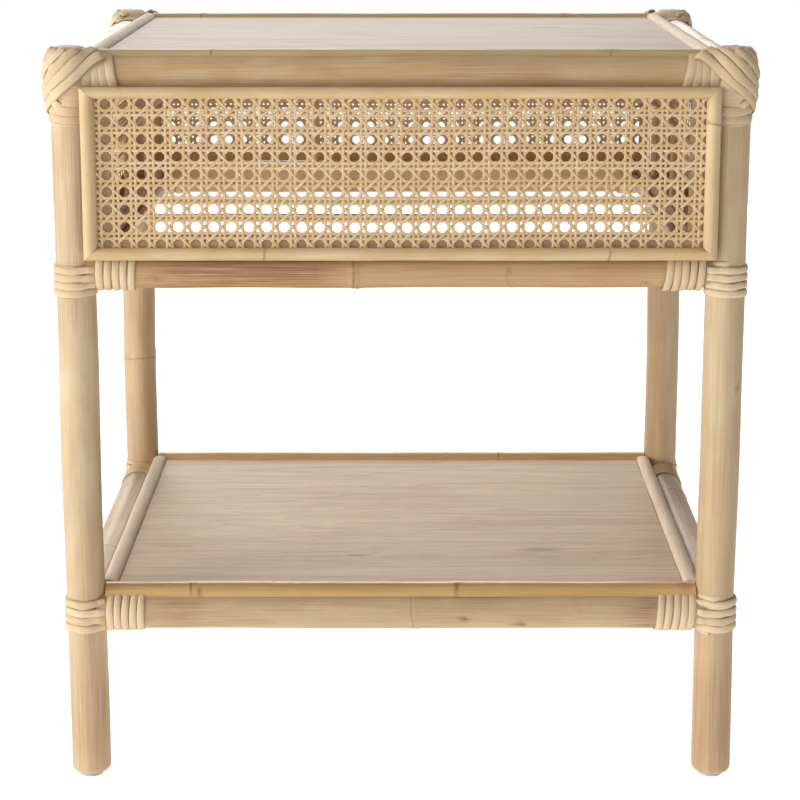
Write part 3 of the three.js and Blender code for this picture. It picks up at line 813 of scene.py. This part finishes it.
def diagonal(piece, sx, sy, face, offset, k):
    """One strip slanting up over the leg and the rail on an outer face of the corner."""
    rng = piece.rng
    slope = math.radians(39.6 + 1.2 * k)
    run = np.array([-math.cos(slope), math.sin(slope)])
    over = np.array([math.sin(slope), math.cos(slope)])
    origin = np.array([18.9, 505.7]) + offset * over
    reach_low = (origin[0] - (26 if face == 0 else 21)) / math.cos(slope)
    reach_high = min(
        (LEVELS["top"] + 21.5 - origin[1]) / math.sin(slope), (origin[0] + 27) / math.cos(slope)
    )
    line = np.linspace(reach_low, reach_high, 44)
    width = 6.5 + rng.uniform(-0.6, 0.7)
    u = STRAND[:, 0][None, :] * width / 2
    drift = wander(line, rng, 60, 0.35)[:, None]
    q = origin[0] + line[:, None] * run[0] + (u + drift) * over[0]
    z = origin[1] + line[:, None] * run[1] + (u + drift) * over[1]
    ends = np.minimum(line - line[0], line[-1] - line)
    tucked = 2.2 * (1 - smooth_step(ends / 5))[:, None]
    layer = (0.75 if face == 0 else 0.0) + 0.45 * (k % 2)
    lift = STRAND[:, 1][None, :] * 1.3 + layer - tucked
    step = 0.05
    place = corner_skin(q, z)
    normal = np.cross(corner_skin(q, z + step) - place, corner_skin(q + step, z) - place)
    normal /= np.linalg.norm(normal, axis=-1, keepdims=True) + 1e-9
    place = place + lift[..., None] * normal
    pair = (place[..., 0], place[..., 1]) if face == 0 else (place[..., 1], place[..., 0])
    rings = np.stack([sx * (LEG_X + pair[0]), sy * (LEG_Y + pair[1]), place[..., 2]], -1)
    # the mark is the distance from the strip's middle; the peel look turns it into painted shade at
    # the edges
    piece.add(rings, beside(u, lift, line), rng.uniform(0, 0.7), np.abs(STRAND[:, 0]))


def over_top(piece, sx, sy, offset, k):
    """One short strip across the flat top of the corner."""
    rng = piece.rng
    slope = math.sqrt(0.5)
    half = math.sqrt(15.0 ** 2 - offset ** 2)
    line = np.linspace(-half, half, 24)
    u = STRAND[:, 0][None, :] * 3.1
    drift = wander(line, rng, 50, 0.3)[:, None]
    a = (offset + u + drift + line[:, None]) * slope
    b = (offset + u + drift - line[:, None]) * slope
    drop = 4.2 * smooth_step((np.hypot(a, b) - 8.5) / 8)
    lift = STRAND[:, 1][None, :] * 0.9 + 0.15 * (k % 2)
    rings = np.stack([sx * (LEG_X + a), sy * (LEG_Y + b), LEG_HIGH + 3.3 + lift - drop], -1)
    # the mark is the distance from the strip's middle; the peel look turns it into painted shade at
    # the edges
    piece.add(rings, beside(u, lift, line), rng.uniform(0, 0.7), np.abs(STRAND[:, 0]))


# ---- woven cane
CANE_PITCH = 12.52           # from hole to hole
CANE_GAP = 1.75              # half the distance between the two strands of a pair
CANE_WIDE, CANE_THICK, CANE_HALF = 2.05, 0.36, 0.17   # a strand, and where its middle is


def webbing(name, body, node, right, hole, seed):
    """Six-way cane webbing over a sheet. right runs along it, up is +Z, hole is the middle of one
    hole, and outward is the side with the cane's skin."""
    piece = Piece(name, seed)
    rng, pitch = piece.rng, CANE_PITCH
    outward = np.cross(right, Z)
    origin = middle(node) * np.abs(outward)
    low, high = (corner[[int(abs(right[1])), 2]] for corner in box(node))
    drift = rng.uniform(0, TAU, 4)

    def lay(x, y, z, across):
        """One strand through the points that lie on the sheet."""
        width = CANE_WIDE + rng.uniform(-0.15, 0.15)
        tint = float(np.clip(rng.normal(0.42, 0.26), 0, 1))
        inside = (x >= low[0]) & (x <= high[0]) & (y >= low[1]) & (y <= high[1])
        if inside.sum() < 3:
            return
        x, y, z = x[inside], y[inside], z[inside]
        shift_x = 0.3 * np.sin(y / 37 + drift[0]) + 0.3 * np.sin(x / 61 + drift[1])
        shift_y = 0.3 * np.sin(x / 43 + drift[2]) + 0.2 * np.sin(y / 29 + drift[3])
        path = origin + (x + shift_x)[:, None] * right + (y + shift_y)[:, None] * Z
        path = path + (z - CANE_HALF)[:, None] * outward
        side = across[0] * right + across[1] * Z
        sweep(piece, path, side, outward, width, CANE_THICK, FINE_STRAND, tint=tint)

    length = high - low
    for a, b, first_over in [(0, 1, 1), (1, 0, -1)]:
        start = math.floor((low[a] - hole[a]) / pitch) + 0.5
        for k in range(int(length[a] / pitch) + 3):
            for hand in (-1, 1):
                along = np.arange(low[b], high[b], pitch / 6)
                z = 0.2 * hand * first_over * np.sin(TAU * ((along - hole[b]) / pitch - 0.5))
                place = hole[a] + pitch * (start + k) + hand * CANE_GAP
                place = place + rng.uniform(-0.15, 0.15) + wander(along, rng, 60, 0.1)
                x, y = (place, along) if a == 0 else (along, place)
                lay(x, y, z, np.eye(2)[a])
    count = int((length[0] + 2 * length[1]) / pitch) + 6
    start = math.floor((low[0] - length[1] - hole[0]) / pitch) - 0.5
    y = low[1] - pitch + np.arange(0, length[1] + 2 * pitch, pitch / 6)
    for hand in (1, -1):
        for k in range(count):
            x = hole[0] + hand * (y - hole[1]) + pitch * (start + k)
            lead = y - hole[1] if hand > 0 else x - hole[0]
            z = 0.42 * np.cos(TAU * (lead / pitch - 0.5))
            lay(x + rng.uniform(-0.2, 0.2), y, z, (0.7071, -0.7071 * hand))
    return piece.make("cane", body, "cane", node, sharp=70)


def canes():
    webbing("webbing_front", "drawer", "drawer_cane", X, (-208.0, 411.5), 101)
    webbing("webbing_back", "frame", "cane_back", -X, (-198.0, 422.0 + BACK_UP), 102)
    for seed, (side, right) in enumerate([("left", -Y), ("right", Y)]):
        webbing(f"webbing_{side}", "frame", f"cane_{side}", right, (-150.0, 420.0), 103 + seed)


# ---- trims
def board_trims():
    nodes = {
        "top_front": [(-133, 0.35), (151, 0.35)], "top_back": [(-173, 0.35), (142, 0.35)],
        "shelf_front": [(-155, 0.35), (43, 0.4)], "shelf_back": [(90, 0.35)],
    }
    spots = {
        "top_front": [(146, 0.0, 9, 1.0, 0.45)],
        "shelf_front": [
            (214, 0.2, 7, 1.2, 0.8), (-120, -0.3, 8, 0.3, 0.2), (-156.5, -0.5, 1.3, 0.5, 0.9),
            (-150, -0.9, 2.5, 0.3, 0.7), (41.5, -0.5, 2.2, 0.7, 0.85), (47, 0.3, 4, 0.4, 0.3),
        ],
        "shelf_back": [(-20, 0, 1.5, 0.8, 0.7), (-165, 0.2, 6, 0.6, 0.5)],
    }
    aged = {"top_front": 0.55, "top_back": 0.8, "shelf_front": 0.62, "shelf_back": 0.5}
    seed = 120
    for level in ("top", "shelf"):
        for side in ("front", "back"):
            seed += 1
            key = f"{level}_{side}"
            low, high = box(f"{level}_trim_{side}")
            board = box(f"{level}_board")[1]
            width, foot = {"top": 12.0, "shelf": 17.0}[level], board[2] - 4
            out = -1 if side == "front" else 1
            piece = Piece(f"half_round_{key}", seed)
            at = Y * out * (board[1] + 0.3 + width / 2) + Z * foot
            moulding(piece, 0, low[0], high[0], at, width, high[2] - foot, Z,
                     nodes=nodes[key], spots=spots.get(key, ()), tint=aged[key])
            look = {"top": "olive", "shelf": "gold"}[level]
            piece.make(look, "frame", "trim", f"{level}_trim_{side}")
        for side in ("left", "right"):
            seed += 1
            low, high = box(f"{level}_trim_{side}")
            piece = Piece(f"half_round_{level}_{side}", seed)
            at = ((low + high) / 2) * (1, 1, 0) + Z * low[2]
            moulding(piece, 1, low[1], high[1], at, high[0] - low[0], high[2] - low[2], Z,
                     spots=[(-60, 0, 3, 0.6, 0.3), (95, 0.2, 3, 0.5, 0.35)], core=True)
            piece.make("core", "frame", "core", f"{level}_trim_{side}")
            top = (low + high) / 2 * X + Z * (high[2] - 0.15)
            places = [top + Y * y for y in (-150, -75, 5, 80, 148)]
            pins(f"pins_{level}_{side}", "frame", places, Z, seed + 40)


def framed(name, corners, depth, height, out, axis, widths, nodes, seed):
    """Four mitred half-round strips round a rectangle that lies square to out. corners are its low
    and high corner along axis and Z, and widths are the strips' left, right, bottom and top. Gives
    each strip's piece and its side."""
    (x0, z0), (x1, z1) = corners
    left, right, bottom, top = widths
    run = np.eye(3)[axis]
    for k, (strip, along, start, end, offset, width, ends, inner) in enumerate([
        ("bottom", axis, x0, x1, z0 + bottom / 2, bottom, (left, right), Z),
        ("top", axis, x0, x1, z1 - top / 2, top, (left, right), -Z),
        ("left", 2, z0, z1, x0 + left / 2, left, (bottom, top), run),
        ("right", 2, z0, z1, x1 - right / 2, right, (bottom, top), -run),
    ]):
        piece = Piece(f"{name}_{strip}", seed + k)
        at = np.abs(out) * depth + (Z * offset if along == axis else run * offset)
        moulding(piece, along, start, end, at, width - 0.3, height, out, mitre=ends,
                 nodes=nodes.get(strip, ()))
        across = np.cross(out, np.eye(3)[along])
        if across @ inner < 0:               # turn the mitred edge to the rectangle's inside
            points = piece.points[-1]
            piece.points[-1] = points - 2 * ((points - at) @ across)[:, None] * across
        yield piece, strip


def drawer_trims():
    sides = [("left", 0), ("right", 0), ("bottom", 2), ("top", 2)]
    widths = [extent(f"drawer_trim_{side}")[axis] for side, axis in sides]
    low, high = box("drawer_trim_left")[0], box("drawer_trim_right")[1]
    nodes = {"right": [(499, 0.3)], "bottom": [(-96, 0.12), (150, 0.1)]}
    corners = (low[0], low[2]), (high[0], high[2])
    for piece, strip in framed("front_trim", corners, high[1], high[1] - low[1], -Y, 0, widths,
                               nodes, 140):
        piece.make("trim", "drawer", "trim", f"drawer_trim_{strip}")
    face = low[1] + 0.2
    x0, x1, z0, z1 = low[0] + 5.5, high[0] - 5.5, low[2] + 4.9, high[2] - 4.4
    places = [(x, face, z) for z in (z0, z1) for x in np.linspace(x0 + 25, x1 - 25, 4)]
    places += [(x, face, (z0 + z1) / 2) for x in (x0, x1)]
    pins("pins_front", "drawer", places, -Y, 150)


def panel_strips():
    """The strips round the fixed webbing at the back and the sides. Their openings reach from low
    to high, and half their width to either side."""
    low, high, seat = 418, 507, 0.6
    for seed, (side, sign, axis, half) in enumerate([
        ("back", 1, 0, 210), ("left", -1, 1, 159.5), ("right", 1, 1, 159.5),
    ]):
        out, up = np.eye(3)[1 - axis] * sign, BACK_UP if side == "back" else 0
        inner, outer = sorted(abs(out @ corner) for corner in box(f"strips_{side}"))
        reach = (LEG_X if axis == 0 else LEG_Y) - LEG_R - 0.4
        bottom = LEVELS["mid"] + up + RAIL_R - seat
        top = LEVELS["top"] - RAIL_R + seat
        widths = [reach - half, reach - half, low + up - bottom, top - high]
        nodes = {"top": [(-70 + 90 * seed, 0.3)], "bottom": [(60 - 40 * seed, 0.3)]}
        corners = (-reach, bottom), (reach, top)
        for piece, strip in framed(f"panel_{side}", corners, inner * sign, outer - inner - 0.6, out,
                                   axis, widths, nodes, 160 + 4 * seed):
            replaced = (f"strips_{side}",) if strip == "top" else ()
            piece.make("trim", "frame", "trim", *replaced)


# ---- drawer and runners
def battens():
    for side in ("left", "right"):
        for name, node, body, seed in [
            ("runner", f"runner_{side}", "frame", 180),
            ("side", f"drawer_side_{side}", "drawer", 184),
        ]:
            low, high = box(node)
            piece = Piece(f"{name}_{side}_batten", seed + (side == "right"))
            plank(piece, low, high, 1)
            piece.make("batten", body, "batten", node)
    low, high = box("drawer_front_frame")
    piece = Piece("front_frame_battens", 190)
    stile = 20.7
    sill, lintel = low[2] + 14.7, high[2] - 7.7
    plank(piece, low, (high[0], high[1], sill), 0)
    plank(piece, (low[0], low[1], lintel), high, 0)
    plank(piece, (low[0], low[1], sill), (low[0] + stile, high[1], lintel), 2)
    plank(piece, (high[0] - stile, low[1], sill), (high[0], high[1], lintel), 2)
    piece.make("batten", "drawer", "batten", "drawer_front_frame")


def tray():
    """The drawer's open bottom: a cross rail at the front and the back, a bearer on each side, and
    thin rods across them."""
    low, high = box("drawer_bottom")
    piece = Piece("tray_bottom", 200)
    inner, bearer, rods = high[0], 6, (88, 2, -84, -170)
    plank(piece, (-inner, low[1], low[2]), (inner, low[1] + 7.7, low[2] + 8.8), 0)
    plank(piece, (-inner, high[1] - 8, low[2]), (inner, high[1], high[2]), 0)
    for x in (-inner, inner - bearer):
        plank(piece, (x, low[1] + 4, low[2]), (x + bearer, high[1] - 4, low[2] + 5), 1)
    for y in rods:
        pole(piece, 0, -inner + 1, inner - 1, (0, y, low[2] + 5), 2.8, sides=16, tint=0.3, bow=0.25,
             nodes=[(piece.rng.uniform(-150, 150), 0.2)])
    piece.make("rod", "drawer", "rod", "drawer_bottom")
    gallery()


def gallery():
    """A bent rod along both sides and the back of the drawer, on thin posts."""
    low, high = box("drawer_gallery")
    radius, bend = 4.5, 24.0
    x, y, z = high[0] - radius, high[1] - radius, high[2] - radius
    half = [(-x, low[1] + k * (y - bend - low[1]) / 30, z) for k in range(31)]
    half += [
        (-x + bend - bend * math.cos(a), y - bend + bend * math.sin(a), z)
        for a in np.linspace(0.1, math.pi / 2, 12)
    ]
    half += [(px, y, z) for px in np.linspace(-x + bend, 0, 20)[1:]]
    path = np.array(half + [(-px, py, z) for px, py, _ in reversed(half[:-1])])
    piece = Piece("tray_gallery", 210)
    ahead = np.gradient(path, axis=0)
    ahead /= np.linalg.norm(ahead, axis=1)[:, None]
    side = np.cross(ahead, Z)
    s = lengths(path)
    angle = full_turn(18)[None, :]
    nodes = (140, 520, 900)
    swell = sum(0.3 * bell(s - place, 4) for place in nodes)
    mark = sum(0.7 * bell(s - place + 1, 1.2) for place in nodes)
    r = (radius * (1 + wander(s, piece.rng, 200, 0.012)) + swell)[:, None]
    rings = path[:, None] + r[..., None] * around(angle, side[:, None], Z)
    piece.add(rings, beside(r * np.cos(angle), r * np.sin(angle), s), 0.3, mark[:, None])
    posts = [(-75, y, -1), (75, y, -1)]
    posts += [(sign * (x - 0.5), post_y, 0) for sign in (-1, 1) for post_y in (-70, 60)]
    for post_x, post_y, foot in posts:
        pole(piece, 2, low[2] + foot, z, (post_x, post_y, 0), 3.0, sides=16, tint=0.4, bow=0.1)
    piece.make("rod", "drawer", "rod", "drawer_gallery")


# ---- boards and glides
def boards():
    looks = {
        "top_board": veneer("veneer_top", 0.2, (208, 187, 171), (210, 186, 164), (194, 167, 143),
                            (146, 120, 96), [(120, 60, 5)]),
        "shelf_board": veneer("veneer_shelf", 0.42, (211, 186, 150), (217, 195, 162),
                              (190, 158, 118), (136, 100, 66), [(-34, -105, 4), (110, -90, 7)]),
        **{f"glide_{corner}": LOOKS["glide"] for corner in CORNERS},
    }
    for node, material in looks.items():
        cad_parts[node].material_slots[0].material = material


camera()
studio()
floor()
legs()
rails()
lashings()
bindings()
canes()
board_trims()
drawer_trims()
panel_strips()
battens()
tray()
boards()
